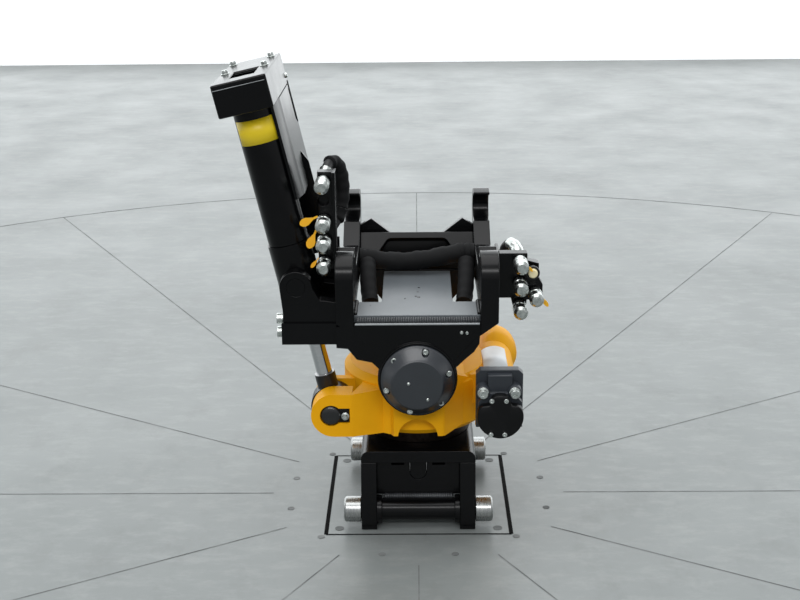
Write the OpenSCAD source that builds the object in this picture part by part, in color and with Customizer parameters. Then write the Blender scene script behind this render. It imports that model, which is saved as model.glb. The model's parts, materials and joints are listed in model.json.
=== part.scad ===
// Excavator tilt rotator: a hook-and-pin hitch on top, tilted by one cylinder about a
// lengthwise axle, over a cast housing whose worm drive turns the lower coupler.
// Millimetres. +Z up, +X to the right, +Y to the rear. The origin lies on the rotation axis,
// in the plane of the coupler's feet.

/* [Pin interface] */
// Diameter of the coupler pins, which the hitch hooks also fit
pin_d = 50; // [44:1:54]
// Distance from the front pins to the rear pins
pin_spacing = 280; // [270:1:290]
// Height of the coupler pins above the feet
pin_z = 34; // [32:1:38]
// Length of pin that stands out of each coupler plate
pin_reach = 34; // [24:1:36]

/* [Lower coupler] */
// Outside width of the coupler
coupler_w = 222; // [210:1:228]
// Thickness of a coupler side plate
coupler_plate_t = 30; // [24:1:32]
// Height from the feet to the rotor flange
coupler_h = 160; // [152:1:170]
// Thickness of the coupler's top plate
coupler_top_t = 24; // [18:1:26]
// Distance from a pin to the end of its foot
foot_reach = 22; // [18:1:30]
// Width of the lock wedge
wedge_w = 32; // [26:1:38]
// Travel of the lock wedge
wedge_travel = 40; // [30:1:44]

/* [Rotor and worm drive] */
// Radius of the rotor flange on the coupler
flange_r = 106; // [96:1:109]
// Thickness of the rotor flange
flange_t = 28; // [24:1:32]
// Radius of the rotor's bearing journal
journal_r = 95; // [86:1:100]
// Number of worm wheel teeth
wheel_teeth = 52; // [50:1:54]
// Module of the worm wheel
wheel_module = 5; // [4.8:0.05:5.1]
// Face width of the worm wheel
wheel_face = 24; // [18:1:26]
// Height of the worm and wheel above the feet
worm_z = 274; // [270:1:276]
// Pitch radius of the worm
worm_pitch_r = 24; // [22:0.5:25]

/* [Housing] */
// Radius of the round drum round the worm wheel
drum_r = 146; // [144:1:150]
// Outside radius of the worm tube
tube_r = 38; // [37:0.5:40]
// Outside radius of the tilt axle's boss
boss_r = 60; // [52:1:63]
// Radius of the lug round the rod pin
lug_r = 43; // [36:1:45]

/* [Tilt axle] */
// Height of the tilt axle above the feet
tilt_z = 330; // [328:1:336]
// Diameter of the tilt axle
axle_d = 50; // [40:1:54]
// Radius of the axle's end caps
cap_r = 68; // [60:1:72]

/* [Upper hitch] */
// Gap between the hitch side plates
hitch_gap = 232; // [229:1:240]
// Thickness of a hitch side plate
hitch_plate_t = 33; // [26:1:36]
// Height of the hook and saddle seats above the feet
hook_z = 568; // [562:1:574]
// Place of the hook seats behind the rotation axis
hook_y = 164; // [160:1:170]
// Top of the hitch's upper plate above the feet
deck_z = 450; // [446:1:456]
// Thickness of the hitch's upper plate
deck_t = 14; // [10:1:16]

/* [Tilt cylinder] */
// Bore of the tilt cylinder
bore_d = 60; // [50:1:62]
// Outside diameter of the barrel
barrel_d = 76; // [70:1:78]
// Diameter of the piston rod
rod_d = 30; // [24:1:34]
// Diameter of the trunnion pins
trunnion_d = 34; // [28:1:40]
// Diameter of the pin at the rod's eye
rod_pin_d = 36; // [30:1:40]

/* [Hydraulic couplings] */
// Diameter of a quick coupling's sleeve
coupling_d = 27; // [24:0.5:28]
// Outside diameter of a hose
hose_d = 19; // [14:0.5:22]

/* [Hidden] */
$fn = 64;

// Radial running clearance of shafts, pins and slides
run = 0.05;
// Gap between seats of neighbouring bodies
seat = 0.3;

// Pins
pin_r = pin_d / 2;
pin_root_r = pin_r - 6;
pin_step = 1;
pin_front_y = -pin_spacing / 2;
pin_rear_y = pin_spacing / 2;

// Coupler
coupler_half = coupler_w / 2;
coupler_in = coupler_half - coupler_plate_t;
coupler_end = pin_spacing / 2 + foot_reach;
coupler_deck = coupler_h - coupler_top_t;
panel_t = 12;
panel_y = pin_spacing / 2 - 24;
collar_t = 10;
wedge_z = coupler_deck - 28;
lock_rod_r = 8;
lock_front_y = -20;
lock_rear_y = 90;
lock_r = 20;

// Rotor
wheel_pitch_r = wheel_teeth * wheel_module / 2;
worm_x = wheel_pitch_r + worm_pitch_r;
tooth_up = 4.2;
tooth_down = 5.5;
tooth_half = 2.2;
tooth_slope = 0.28;
wheel_tip_r = wheel_pitch_r + tooth_up;
wheel_root_r = wheel_pitch_r - tooth_down;
worm_tip_r = worm_pitch_r + tooth_up;
worm_root_r = worm_pitch_r - tooth_down;
worm_lead = PI * wheel_module;
worm_turns = 6;
worm_shaft_r = 15;
swivel_r = 22;
wheel_z = worm_z - wheel_face / 2;
flange_top = coupler_h + flange_t;

// Housing
bearing_t = 15;
cavity_gap = 3;
housing_z = 192;
drum_top = worm_z + wheel_face / 2 + cavity_gap + 13;
apron_y = -165;
boss_rear_y = drum_r + 2;
tube_front_y = -204;
tube_rear_y = drum_r - 11;
bush_t = 5;
worm_bore_r = worm_tip_r + 2.8;
saddle_half = 52;
neck_x = 100;

// Hydraulic motor, a little inside and above the worm's axis
motor_x = worm_x - 4;
motor_z = worm_z + 6;
motor_flange_t = 20;
motor_body_t = 22;
motor_cover_t = 16;
motor_half = 43;
motor_rise = 40;
motor_flat = 22;

// Tilt cylinder line, from the trunnion P to the rod pin Q
cyl_y = -100;
trunnion_x = -223;
trunnion_z = 499.5;
rod_pin_x = -165;
rod_pin_z = 242.5;
cyl_dx = rod_pin_x - trunnion_x;
cyl_dz = trunnion_z - rod_pin_z;
cyl_len = sqrt(cyl_dx * cyl_dx + cyl_dz * cyl_dz);
cyl_lean = atan2(cyl_dx, cyl_dz);
lug_x = rod_pin_x + 5;
lug_crease_x = -124;
eye_t = 36;
eye_r = 41;
fork_t = 18;
fork_gap = eye_t + 4;
ring_r = 40.5;
arm_gap = 2 * ring_r + 3;
arm_t = 28;
barrel_top = 330;
ring_up = 72;
gland_in = 28;
gland_out = 72;
rod_collar = 66;
piston_t = 30;
piston_rest = 96;
eye_bush_t = 6;
pocket_t = 8;
fork_in_y = cyl_y - fork_gap / 2;
fork_rear_y = cyl_y + fork_gap / 2;
arm_front_y = cyl_y - arm_gap / 2 - arm_t;
arm_rear_y = cyl_y + arm_gap / 2;
arm_end_x = trunnion_x - 25;
hood_side = 12;
hood_w = barrel_d + 2 * hood_side;
hood_front = 85;
hood_back = 185;
hood_h = 60;
hood_wall = 6;
hood_low = barrel_top + 3;

// Hitch
hitch_in = hitch_gap / 2;
hitch_out = hitch_in + hitch_plate_t;
saddle_y = hook_y - pin_spacing;
seat_r = pin_r + 0.4;
ear_r = 45;
ear_y = saddle_y - 35;
ear_z = hook_z - 51;
hitch_front_y = ear_y - ear_r;
web_t = 28;
web_back_y = hitch_front_y + web_t;
rear_web_y = boss_rear_y + 2;
deck_low = deck_z - deck_t;
cap_t = 29;
cap_rim = 7;
cap_ring = 6;
cap_ring_r = cap_r + 4;
// Lower corners of the hitch plates clear the worm tube when the hitch tilts down to the right
corner_in_z = tilt_z + 83;
corner_out_z = tilt_z + 107;

// Couplings
left_line_x = -171;
right_line_x = 194;
coupling_r = coupling_d / 2;
left_coupling_z = [for (rise = [33.5, 75.5, 113.5, 186.5]) trunnion_z + rise];
right_coupling_at = [[right_line_x, 524], [right_line_x, 481], [right_line_x, 436], [right_line_x + 29, 461]];
left_nose_y = -168;
right_nose_y = -140;
coupling_len = 52;
left_block_y = left_nose_y + coupling_len;
right_block_y = right_nose_y + coupling_len;
block_t = 24;
bracket_t = 6;

// Hose routes; the left one's heights count from the trunnion
left_hose_y = left_block_y + block_t + seat;
right_hose_y = right_block_y + block_t + seat;
left_bend = [[left_line_x, left_hose_y, 186.5], [left_line_x, -78, 186.5], [-168, -60, 198], [-161, -42, 206],
    [-150, -26, 200], [-143, -16, 178], [-141, -14, 148], [-144, -20, 118], [-152, -34, 94],
    [-163, -54, 80], [left_line_x, -76, 75.5], [left_line_x, left_hose_y, 75.5]];
left_route = [for (p = left_bend) p + [0, 0, trunnion_z]];
right_route = [[right_line_x, right_hose_y, 524], [right_line_x, -50, 524], [191, -32, 533], [183, -14, 537],
    [174, 2, 528], [169, 12, 508], [168, 17, 486], [164, 18, 470], [158, 18, 465], [hitch_out + seat, 18, 465]];
cross_route = [[-hitch_in + seat, 84, 482], [-100, 84, 482], [-70, 81, 477], [-30, 79, 475], [10, 80, 478],
    [50, 84, 484], [85, 88, 490], [100, 89, 491], [hitch_in - seat, 89, 491]];

function arc(cx, cy, r, from, to, n = 10) =
    [for (i = [0 : n]) [cx + r * cos(from + (to - from) * i / n), cy + r * sin(from + (to - from) * i / n)]];

function unit(v) = v / norm(v);

function tangent(route, i) =
    unit(route[min(i + 1, len(route) - 1)] - route[max(i - 1, 0)]);

// Outline drawn in X and Z, pushed from y0 to y1
module xz(y0, y1) {
    translate([0, y1, 0]) rotate([90, 0, 0]) linear_extrude(y1 - y0) children();
}

// Outline drawn in Y and Z, pushed from x0 to x1
module yz(x0, x1) {
    translate([x0, 0, 0]) rotate([90, 0, 90]) linear_extrude(x1 - x0) children();
}

// Cylinder along Y from y0 to y1
module rod_y(x, z, r, y0, y1) {
    translate([x, y1, z]) rotate([90, 0, 0]) cylinder(r = r, h = y1 - y0);
}

// Cylinder along X from x0 to x1
module rod_x(y, z, r, x0, x1) {
    translate([x0, y, z]) rotate([0, 90, 0]) cylinder(r = r, h = x1 - x0);
}

// Local frame of the tilt cylinder: origin at the trunnion, +Z up along the barrel
module on_cylinder() {
    translate([trunnion_x, cyl_y, trunnion_z]) rotate([0, -cyl_lean, 0]) children();
}

// Round tube swept along a route, with one ring of sides at each point
module swept(route, r, sides = 10) {
    rings = [for (i = [0 : len(route) - 1])
        let (t = tangent(route, i))
        let (ref = abs(t[1]) < 0.9 ? [0, 1, 0] : [1, 0, 0])
        let (u = unit(cross(ref, t)))
        let (v = cross(t, u))
        [for (k = [0 : sides - 1]) route[i] + r * (u * cos(360 * k / sides) + v * sin(360 * k / sides))]];
    points = [for (ring = rings) each ring];
    last = (len(route) - 1) * sides;
    faces = concat(
        [[for (k = [0 : sides - 1]) k]],
        [for (i = [0 : len(route) - 2]) for (k = [0 : sides - 1])
            let (a = i * sides + k, b = i * sides + (k + 1) % sides)
            each [[a, a + sides, b + sides], [a, b + sides, b]]],
        [[for (k = [sides - 1 : -1 : 0]) last + k]]);
    polyhedron(points = points, faces = faces, convexity = 6);
}

// Lower coupler

// Mirrors its children to the other side of the centre plane for side = -1
module on_side(side) {
    if (side > 0) children();
    else mirror([1, 0, 0]) children();
}

module coupler_plate() {
    foot_len = 54;
    arch_z = 44;
    shoulder_z = 66;
    shoulder = 14;
    color("#17181a") difference() {
        yz(coupler_in, coupler_half) polygon([
            [-coupler_end, 0], [-coupler_end + foot_len, 0], [-coupler_end + foot_len + 12, arch_z],
            [coupler_end - foot_len - 12, arch_z], [coupler_end - foot_len, 0], [coupler_end, 0],
            [coupler_end, shoulder_z], [coupler_end - shoulder, coupler_deck],
            [-coupler_end + shoulder, coupler_deck], [-coupler_end, shoulder_z]]);
        for (y = [pin_front_y, pin_rear_y])
            rod_x(y, pin_z, pin_root_r + run, coupler_in - 1, coupler_half + 1);
    }
}

module coupler_left_plate() { on_side(-1) coupler_plate(); }
module coupler_right_plate() { on_side(1) coupler_plate(); }

module coupler_top_plate() {
    round_r = 16;
    end_y = coupler_end - 14;
    color("#17181a") xz(-end_y, end_y) polygon(concat(
        [[-coupler_half, coupler_deck], [coupler_half, coupler_deck]],
        arc(coupler_half - round_r, coupler_h - round_r, round_r, 0, 90),
        arc(-coupler_half + round_r, coupler_h - round_r, round_r, 90, 180)));
}

// Wall between the side plates, above a cross tube
module coupler_panel(y0) {
    low_z = pin_z + pin_r + 1;
    slot_w = 24;
    slot_h = 9;
    slot_x = 40;
    slot_z = coupler_deck - 9;
    difference() {
        xz(y0, y0 + panel_t) polygon([[-coupler_in, low_z], [coupler_in, low_z],
            [coupler_in, coupler_deck], [-coupler_in, coupler_deck]]);
        for (x = [-slot_x, slot_x])
            translate([x - slot_w / 2, y0 - 1, slot_z - slot_h / 2]) cube([slot_w, panel_t + 2, slot_h]);
    }
}

module coupler_front_panel() {
    slot_r = wedge_w / 2 + 0.5;
    color("#17181a") difference() {
        coupler_panel(-panel_y - panel_t);
        rod_y(0, wedge_z, slot_r, -panel_y - panel_t - 1, -panel_y + 1);
        translate([-slot_r, -panel_y - panel_t - 1, wedge_z])
            cube([2 * slot_r, panel_t + 2, coupler_deck]);
    }
}

module coupler_rear_panel() { color("#17181a") coupler_panel(panel_y); }

module coupler_cross_tubes() {
    tube_out = pin_r - 3;
    collar_r = pin_r + 3;
    color("#17181a") for (y = [pin_front_y, pin_rear_y]) {
        rod_x(y, pin_z, tube_out, -coupler_in, coupler_in);
        rod_x(y, pin_z, collar_r, -coupler_in, -coupler_in + collar_t);
        rod_x(y, pin_z, collar_r, coupler_in - collar_t, coupler_in);
    }
}

// Bright pin on the outside of a side plate, chamfered at its end, with a spigot through the plate
module coupler_pin(side, y) {
    bevel = 3;
    from = coupler_plate_t + pin_step;
    end = coupler_plate_t + pin_reach;
    color("#b9bcbd") on_side(side) translate([coupler_in, y, pin_z]) rotate([0, 90, 0]) rotate_extrude()
        polygon([[0, 0], [pin_root_r, 0], [pin_root_r, from], [pin_r, from], [pin_r, end - bevel],
            [pin_r - bevel, end], [0, end]]);
}

module front_pin_left() { coupler_pin(-1, pin_front_y); }
module front_pin_right() { coupler_pin(1, pin_front_y); }
module rear_pin_left() { coupler_pin(-1, pin_rear_y); }
module rear_pin_right() { coupler_pin(1, pin_rear_y); }

// Hydraulic lock cylinder hung from the coupler's top plate
module lock_cylinder() {
    block_w = 26;
    color("#2a2c2e") difference() {
        union() {
            rod_y(0, wedge_z, lock_r, lock_front_y, lock_rear_y);
            translate([-block_w / 2, lock_front_y + 15, wedge_z])
                cube([block_w, lock_rear_y - lock_front_y - 30, coupler_deck - wedge_z]);
        }
        rod_y(0, wedge_z, lock_rod_r + run, lock_front_y - 1, lock_rear_y - 20);
    }
}

// Lock wedge with its rod; a tongue with a round underside and a ramp on its nose
module lock_wedge() {
    wedge_back_y = lock_front_y - 4;
    wedge_top = coupler_deck - 5;
    half = wedge_w / 2;
    color("#232527") {
        difference() {
            xz(-panel_y - panel_t, wedge_back_y) polygon(concat(
                [[half, wedge_top], [-half, wedge_top]], arc(0, wedge_z, half, 180, 360, 20)));
            translate([0, -panel_y - panel_t, wedge_top]) rotate([30, 0, 0])
                translate([-wedge_w, -30, 0]) cube([2 * wedge_w, 60, 30]);
        }
        rod_y(0, wedge_z, lock_rod_r, wedge_back_y, wedge_back_y + wedge_travel + 30);
    }
}

// Rotor and worm drive

module rotor_flange() {
    edge = 5;
    color("#1b1716") rotate_extrude() polygon([
        [swivel_r, coupler_h], [flange_r, coupler_h], [flange_r, flange_top - edge],
        [flange_r - edge, flange_top], [swivel_r, flange_top]]);
}

function tooth_point(r, half, a) = [r * cos(a) - half * sin(a), r * sin(a) + half * cos(a)];

module worm_wheel() {
    root_half = tooth_half + tooth_slope * tooth_down;
    tip_half = tooth_half - tooth_slope * tooth_up;
    color("#8d7a44") difference() {
        union() {
            translate([0, 0, flange_top]) cylinder(r = journal_r, h = wheel_z - flange_top);
            translate([0, 0, wheel_z]) linear_extrude(wheel_face) polygon([
                for (i = [0 : wheel_teeth - 1]) let (a = 360 * i / wheel_teeth) each [
                    tooth_point(wheel_root_r, -root_half, a), tooth_point(wheel_tip_r, -tip_half, a),
                    tooth_point(wheel_tip_r, tip_half, a), tooth_point(wheel_root_r, root_half, a)]]);
        }
        translate([0, 0, coupler_h]) cylinder(r = swivel_r, h = drum_top);
    }
}

// Worm with one thread, its shaft running in the two bearings
module worm() {
    thread_facets = 18;
    thread_len = worm_turns * worm_lead;
    thread_mid = (worm_tip_r + worm_root_r) / 2;
    thread_e = (worm_tip_r - worm_root_r) / 2;
    color("#9a9c9e") {
        translate([worm_x, -thread_len / 2, worm_z]) rotate([-90, 0, 0])
            linear_extrude(thread_len, twist = -360 * worm_turns, slices = 10 * worm_turns, $fn = thread_facets)
                translate([thread_e, 0]) circle(r = thread_mid, $fn = thread_facets);
        rod_y(worm_x, worm_z, worm_shaft_r, tube_front_y + seat, -thread_len / 2);
        rod_y(worm_x, worm_z, worm_shaft_r, thread_len / 2, tube_rear_y - seat);
    }
}

module worm_bearings() {
    ring_len = 20;
    color("#7d8082") for (y = [tube_front_y + 50, tube_rear_y - 45])
        difference() {
            rod_y(worm_x, worm_z, worm_bore_r - run, y, y + ring_len);
            rod_y(worm_x, worm_z, worm_shaft_r + run, y - 1, y + ring_len + 1);
        }
}

module worm_end_cover() {
    cover_t = 12;
    bevel = 4;
    color("#e8a013") translate([worm_x, tube_rear_y, worm_z]) rotate([-90, 0, 0]) rotate_extrude()
        polygon([[0, 0], [tube_r, 0], [tube_r, cover_t - bevel], [tube_r - bevel, cover_t], [0, cover_t]]);
}

module rotor_bearing() {
    color("#3a3531") difference() {
        translate([0, 0, flange_top + seat])
            cylinder(r = journal_r + bearing_t, h = wheel_z - flange_top - 2 * seat);
        translate([0, 0, flange_top - 1]) cylinder(r = journal_r + run, h = wheel_z);
    }
}

// Housing

// Lug round the rod pin, running into the housing at root_x
module lug_outline(root_x) {
    polygon(concat(arc(lug_x, rod_pin_z, lug_r, 90, 270, 24),
        [[root_x, rod_pin_z - lug_r], [root_x, rod_pin_z + lug_r]]));
}

// Keyhole pocket in the front lug, made smaller by gap
module keyhole(gap) {
    hole_r = 21 - gap;
    tail_h = 15 - gap;
    tail_x = 36 - gap;
    translate([rod_pin_x, rod_pin_z]) {
        circle(r = hole_r);
        translate([0, -tail_h]) square([tail_x, 2 * tail_h]);
    }
}

// Front of the casting under the tilt axle: two legs beside an arch, faces turned back at each side
module housing_apron() {
    lug_low = rod_pin_z - lug_r;
    lug_top = rod_pin_z + lug_r;
    leg_z = housing_z + 8;
    leg_in = 38;
    leg_out = 52;
    arch_top = housing_z + 43;
    left_y = apron_y + 22;
    right_x = 112;
    right_y = apron_y + 70;
    back_y = -50;
    shoulder_z = tilt_z - 8;
    difference() {
        intersection() {
            translate([0, 0, housing_z]) linear_extrude(tilt_z - housing_z) polygon([
                [lug_crease_x - 4, apron_y], [lug_crease_x, apron_y], [-leg_out - 14, left_y], [-leg_out, apron_y + 15],
                [-leg_out + 6, apron_y], [leg_out - 6, apron_y], [leg_out, apron_y + 3], [right_x - 12, right_y - 5],
                [right_x, right_y], [right_x, back_y], [-98, back_y], [-108, cyl_y - 8]]);
            xz(apron_y - 1, back_y + 1) polygon([
                [lug_crease_x - 4, lug_low], [-leg_out, lug_low - 2], [-leg_out + 6, leg_z], [leg_out, leg_z],
                [right_x, leg_z + 8], [right_x, worm_z + 12], [boss_r + 2, shoulder_z], [-boss_r + 2, shoulder_z],
                [-boss_r - 10, lug_top + 2], [lug_crease_x - 4, lug_top]]);
        }
        rod_y(0, arch_top - leg_in, leg_in, apron_y - 1, back_y);
    }
}

module housing_body() {
    bevel = 12;
    rotate_extrude() polygon([[0, housing_z], [drum_r - bevel, housing_z], [drum_r, housing_z + bevel],
        [drum_r, drum_top - bevel], [drum_r - bevel, drum_top], [0, drum_top]]);
    rod_y(0, tilt_z, boss_r, apron_y, boss_rear_y);
    housing_apron();
    xz(apron_y, fork_in_y) lug_outline(lug_crease_x);
    xz(fork_rear_y, fork_rear_y + fork_t) lug_outline(-96);
    rod_y(worm_x, worm_z, tube_r, tube_front_y, tube_rear_y);
    // Neck between the drum and the worm tube
    neck_y = apron_y + 65;
    neck_drop = 34;
    neck_h = 60;
    translate([neck_x, neck_y, worm_z - neck_drop])
        cube([worm_x - neck_x, tube_rear_y - 20 - neck_y, neck_h]);
    // Rear saddle under the axle boss
    saddle_drop = 20;
    translate([-saddle_half, 0, worm_z - saddle_drop])
        cube([2 * saddle_half, boss_rear_y, tilt_z - worm_z + saddle_drop]);
    // Motor seat at the front of the worm tube
    seat_h = 74;
    seat_t = hitch_front_y - tube_front_y - 1.5;
    translate([motor_x - motor_half, tube_front_y, worm_z - neck_drop]) cube([2 * motor_half, seat_t, seat_h]);
}

module rotor_housing() {
    cavity_r = wheel_tip_r + cavity_gap;
    bore_r = axle_d / 2 + bush_t + run;
    eye_room = eye_r + 8;
    color("#eda312") difference() {
        housing_body();
        translate([0, 0, wheel_z - cavity_gap]) cylinder(r = cavity_r, h = wheel_face + 2 * cavity_gap);
        translate([0, 0, housing_z - 1]) cylinder(r = journal_r + bearing_t + run, h = wheel_z - housing_z);
        rod_y(worm_x, worm_z, worm_bore_r, tube_front_y - 1, tube_rear_y + 1);
        rod_y(0, tilt_z, bore_r, apron_y - 1, boss_rear_y + 1);
        rod_y(rod_pin_x, rod_pin_z, eye_room, fork_in_y, fork_rear_y);
        rod_y(rod_pin_x, rod_pin_z, rod_pin_d / 2 + run, apron_y - 1, fork_rear_y + fork_t + 1);
        xz(apron_y - 1, apron_y + pocket_t) keyhole(0);
    }
}

module axle_bushes() {
    bush_len = 60;
    color("#a98b4a") for (y = [apron_y, boss_rear_y - bush_len])
        difference() {
            rod_y(0, tilt_z, axle_d / 2 + bush_t, y, y + bush_len);
            rod_y(0, tilt_z, axle_d / 2 + run, y - 1, y + bush_len + 1);
        }
}

// Stub pins in the two fork lugs; the rod's eye turns between them
module rod_pins() {
    color("#6f7274") {
        rod_y(rod_pin_x, rod_pin_z, rod_pin_d / 2, apron_y + pocket_t, fork_in_y);
        rod_y(rod_pin_x, rod_pin_z, rod_pin_d / 2, fork_rear_y, fork_rear_y + fork_t);
    }
}

module pin_keeper() {
    color("#1d1f22") xz(apron_y + 2, apron_y + pocket_t) keyhole(1.5);
}

// Hydraulic motor

module motor_flange() {
    y1 = tube_front_y;
    rise = 77;
    drop = 30;
    top_z = motor_z + rise;
    notch = 8;
    color("#33373d") xz(y1 - motor_flange_t, y1) polygon([
        [motor_x - motor_half, worm_z - drop], [motor_x + motor_half, worm_z - drop],
        [motor_x + motor_half, top_z - notch], [motor_x + motor_half - notch, top_z],
        [motor_x - motor_half + notch, top_z], [motor_x - motor_half, top_z - notch]]);
}

module octagon(half, flat, low, high) {
    polygon([[-half, -flat], [-flat, -low], [flat, -low], [half, -flat],
        [half, flat], [flat + 4, high], [-flat - 4, high], [-half, flat]]);
}

module motor_body() {
    y1 = tube_front_y - motor_flange_t;
    rib_half = 22;
    rib_h = 32;
    rib_top = motor_z + motor_rise + rib_h;
    color("#2b2e33") {
        translate([motor_x, 0, motor_z]) xz(y1 - motor_body_t, y1) octagon(motor_half - 3, motor_flat, motor_rise, motor_rise);
        // Raised block between the two flange bolts
        xz(y1 - motor_body_t + 6, y1) polygon([
            [motor_x - rib_half, motor_z + motor_rise], [motor_x + rib_half, motor_z + motor_rise],
            [motor_x + rib_half, rib_top], [motor_x - rib_half, rib_top]]);
    }
}

module motor_cover() {
    y1 = tube_front_y - motor_flange_t - motor_body_t;
    bevel = 4;
    color("#15171a") translate([motor_x, 0, motor_z]) {
        xz(y1 - motor_cover_t + bevel, y1) octagon(motor_half, motor_flat + 2, motor_rise + 4, motor_rise + 2);
        xz(y1 - motor_cover_t, y1 - motor_cover_t + bevel) octagon(motor_half - bevel, motor_flat, motor_rise, motor_rise - 2);
    }
}

// Upper hitch

// Side plate outline in Y and Z: round front ear, saddle behind it, hook at the rear
module hitch_plate_outline() {
    back_r = 47;
    back_y = hook_y + 8;
    back_z = hook_z - 12;
    low_y = -125;
    waist_z = hook_z - 63;
    rear_low_y = hook_y - 12;
    lip_y = hook_y - 22;
    difference() {
        polygon(concat(
            [[hitch_front_y, corner_in_z], [hitch_front_y, ear_z]],
            arc(ear_y, ear_z, ear_r, 180, 60, 16),
            [[saddle_y + 26, hook_z - 14], [saddle_y + 34, hook_z - 20], [saddle_y + 62, waist_z],
             [hook_y - 72, waist_z], [lip_y - 14, hook_z - seat_r - 12], [lip_y, hook_z - seat_r],
             [lip_y, hook_z], [hook_y - 14, hook_z + seat_r], [hook_y - 14, hook_z + seat_r + 6]],
            arc(back_y, back_z, back_r, 90, -40, 16),
            [[rear_low_y + 20, corner_in_z + 40], [rear_low_y - 10, corner_out_z + 4],
             [low_y + 15, corner_out_z + 4], [low_y, corner_in_z]]));
        translate([hook_y, hook_z]) circle(r = seat_r);
        translate([hook_y - 100, hook_z - seat_r]) square([100, 2 * seat_r]);
        translate([saddle_y, hook_z]) circle(r = seat_r);
        translate([saddle_y - seat_r, hook_z]) square([2 * seat_r, 60]);
    }
}

module hitch_plate() {
    color("#141517") difference() {
        yz(hitch_in, hitch_out) hitch_plate_outline();
        // Underside bevelled to clear the worm tube at full tilt
        xz(hitch_front_y - 1, hook_y + 80) polygon([
            [hitch_in - 1, corner_in_z], [hitch_in, corner_in_z], [hitch_out, corner_out_z],
            [hitch_out + 1, corner_out_z], [hitch_out + 1, corner_in_z - 20], [hitch_in - 1, corner_in_z - 20]]);
    }
}

module hitch_left_plate() { on_side(-1) hitch_plate(); }
module hitch_right_plate() { on_side(1) hitch_plate(); }

// Cross web, round under the tilt axle
module hitch_web(y0) {
    neck_x = 64;
    neck_z = 32;
    shoulder_x = hitch_in - 8;
    difference() {
        xz(y0, y0 + web_t) polygon(concat(
            [[hitch_in, corner_in_z], [hitch_in, deck_low], [-hitch_in, deck_low], [-hitch_in, corner_in_z],
             [-shoulder_x, corner_in_z - 3]],
            arc(0, tilt_z, cap_ring_r + 2, 180 - atan2(neck_z, neck_x), 360 + atan2(neck_z, neck_x), 32),
            [[shoulder_x, corner_in_z - 3]]));
        rod_y(0, tilt_z, axle_d / 2 + run, y0 - 1, y0 + web_t + 1);
    }
}

// Raised ring under an axle cap
module cap_seat(y0) {
    difference() {
        rod_y(0, tilt_z, cap_ring_r, y0, y0 + cap_ring);
        rod_y(0, tilt_z, axle_d / 2 + run, y0 - 1, y0 + cap_ring + 1);
    }
}

module hitch_front_plate() {
    color("#141517") {
        hitch_web(hitch_front_y);
        cap_seat(hitch_front_y - cap_ring);
    }
}

module hitch_rear_plate() {
    color("#141517") {
        hitch_web(rear_web_y);
        cap_seat(rear_web_y + web_t);
    }
}

// Upper plate with two rear notches beside a tongue
module hitch_deck() {
    ledge = 12;
    notch_y = -104;
    tongue_half = 67;
    tongue_end = 96;
    color("#4b4f52") translate([0, 0, deck_low]) linear_extrude(deck_t) polygon([
        [-hitch_in, hitch_front_y + ledge], [hitch_in, hitch_front_y + ledge], [hitch_in, notch_y],
        [tongue_half, notch_y], [tongue_half, tongue_end], [-tongue_half, tongue_end],
        [-tongue_half, notch_y], [-hitch_in, notch_y]]);
}

// Leaning cross plate between the hooks with a wide arched opening
module hitch_arch() {
    lean = 38;
    plate_t = 16;
    plate_h = 78;
    bar_h = 14;
    foot_half = hitch_in - 16;
    top_half = 52;
    corner_r = 12;
    foot_y = 102;
    color("#1c1e20") translate([0, foot_y, deck_z + 6]) rotate([-lean, 0, 0]) xz(0, plate_t) polygon(concat(
        [[-hitch_in, 0], [-foot_half, 0]],
        arc(-top_half, plate_h - bar_h - corner_r, corner_r, 150, 90, 5),
        arc(top_half, plate_h - bar_h - corner_r, corner_r, 90, 30, 5),
        [[foot_half, 0], [hitch_in, 0], [hitch_in, plate_h], [-hitch_in, plate_h]]));
}

// Peaked gussets behind the arch, at each side plate
module hitch_gussets() {
    y0 = hook_y + 2;
    gusset_t = 14;
    color("#141517") for (side = [-1, 1]) on_side(side) xz(y0, y0 + gusset_t) polygon([
        [hitch_in, deck_z + 14], [hitch_in, deck_z + 78], [hitch_in - 22, deck_z + 92],
        [48, deck_z + 56], [58, deck_z + 40], [hitch_in - 20, deck_z + 14]]);
}

module tilt_axle() {
    color("#8f9294") rod_y(0, tilt_z, axle_d / 2, hitch_front_y - cap_ring, rear_web_y + web_t + cap_ring);
}

// Dished end cap with bolt pockets in its slope, drawn facing +Z
module axle_cap() {
    face_r = cap_r - 20;
    bolt_circle_r = cap_r - 8;
    pocket_r = 7;
    bolts = 6;
    first_bolt = 16;
    difference() {
        rotate_extrude() polygon([[0, 0], [cap_r, 0], [cap_r, cap_rim - 2], [cap_r - 2, cap_rim],
            [cap_r - 4, cap_rim + 1], [face_r + 2, cap_t - 3], [face_r - 2, cap_t], [0, cap_t]]);
        for (i = [0 : bolts - 1]) rotate(first_bolt + 360 * i / bolts)
            translate([bolt_circle_r, 0, cap_rim]) cylinder(r = pocket_r, h = cap_t);
    }
}

module axle_cap_front() {
    color("#2c333c") translate([0, hitch_front_y - cap_ring, tilt_z]) rotate([90, 0, 0]) axle_cap();
}

module axle_cap_rear() {
    color("#2c333c") translate([0, rear_web_y + web_t + cap_ring, tilt_z]) rotate([-90, 0, 0]) axle_cap();
}

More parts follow.
